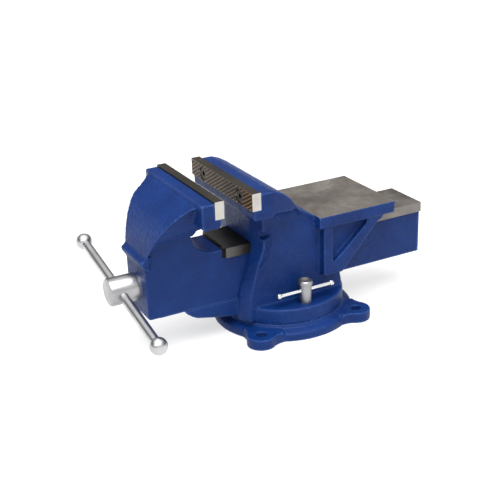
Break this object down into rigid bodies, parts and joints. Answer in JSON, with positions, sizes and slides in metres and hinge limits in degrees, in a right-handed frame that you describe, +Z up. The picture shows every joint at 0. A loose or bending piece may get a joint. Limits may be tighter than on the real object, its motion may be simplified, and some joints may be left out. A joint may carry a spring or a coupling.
{
  "type": "bench vise",
  "caption": "Bench vise on a swivel base: serrated jaws, hollow slide beam driven by a screw with a sliding bar handle, flat anvil behind, and cross-bar swivel locks.",
  "frame": {"origin": "centre of the four bench bolts, on the base's underside", "axes": "+Z up, +Y from the handle towards the anvil along the slide beam, +X along the jaws"},
  "size_m": [0.2314, 0.3995, 0.186],
  "materials": {
    "blue_casting": "gloss enamel over a lightly textured iron casting; bare machined anvil, beam top and jaw seats",
    "jaw_steel": "ground ends, dark serrated gripping face",
    "dark_steel": "oiled",
    "grey_iron": "as cast",
    "bright_plate": "bright nickel plate, satin"
  },
  "bodies": {
    "base": {"swivel_base": "blue_casting"},
    "body": {"vise_body": "blue_casting", "fixed_jaw_plate": "jaw_steel", "fixed_jaw_screws": "dark_steel", "lead_nut": "grey_iron", "nut_bolts": "dark_steel", "nut_washers": "dark_steel", "t_nut_right": "grey_iron", "t_nut_left": "grey_iron"},
    "jaw": {"moving_jaw": "blue_casting", "moving_jaw_plate": "jaw_steel", "moving_jaw_screws": "dark_steel", "thrust_washer": "bright_plate", "spring_washer": "dark_steel"},
    "screw": {"lead_screw": "bright_plate", "retaining_collar": "dark_steel", "collar_pin": "dark_steel"},
    "handle": {"handle_bar": "bright_plate", "handle_ball_left": "bright_plate", "handle_ball_right": "bright_plate"},
    "lock_right": {"lock_screw_right": "bright_plate"},
    "lock_left": {"lock_screw_left": "bright_plate"},
    "lock_bar_right": {"lock_bar_right": "bright_plate", "lock_knobs_right": "bright_plate"},
    "lock_bar_left": {"lock_bar_left": "bright_plate", "lock_knobs_left": "bright_plate"}
  },
  "joints": [
    {"name": "swivel", "type": "hinge", "parent": "base", "child": "body", "pos_m": [0, 0, 0.016], "axis": [0, 0, 1], "continuous": true},
    {"name": "jaw_slide", "type": "slide", "parent": "body", "child": "jaw", "axis": [0, 1, 0], "range_m": [-0.1171, 0.0326]},
    {"name": "screw_turn", "type": "hinge", "parent": "jaw", "child": "screw", "pos_m": [0, -0.2, 0.078], "axis": [0, 1, 0], "range_deg": [-8424, 2340]},
    {"name": "handle_slide", "type": "slide", "parent": "screw", "child": "handle", "axis": [0.982, 0, -0.1891], "range_m": [-0.082, 0.082]},
    {"name": "lock_turn_right", "type": "hinge", "parent": "body", "child": "lock_right", "pos_m": [0.057, -0.001, 0.05], "axis": [0, 0, 1], "range_deg": [-9, 9]},
    {"name": "lock_turn_left", "type": "hinge", "parent": "body", "child": "lock_left", "pos_m": [-0.057, -0.001, 0.05], "axis": [0, 0, 1], "range_deg": [-9, 9]},
    {"name": "lock_bar_slide_right", "type": "slide", "parent": "lock_right", "child": "lock_bar_right", "axis": [0, 1, 0], "range_m": [-0.022, 0.022]},
    {"name": "lock_bar_slide_left", "type": "slide", "parent": "lock_left", "child": "lock_bar_left", "axis": [0, 1, 0], "range_m": [-0.022, 0.022]}
  ],
  "couplings": [
    {"joint": "jaw_slide", "follows": "screw_turn", "m_per_rad": 0.00079577}
  ]
}
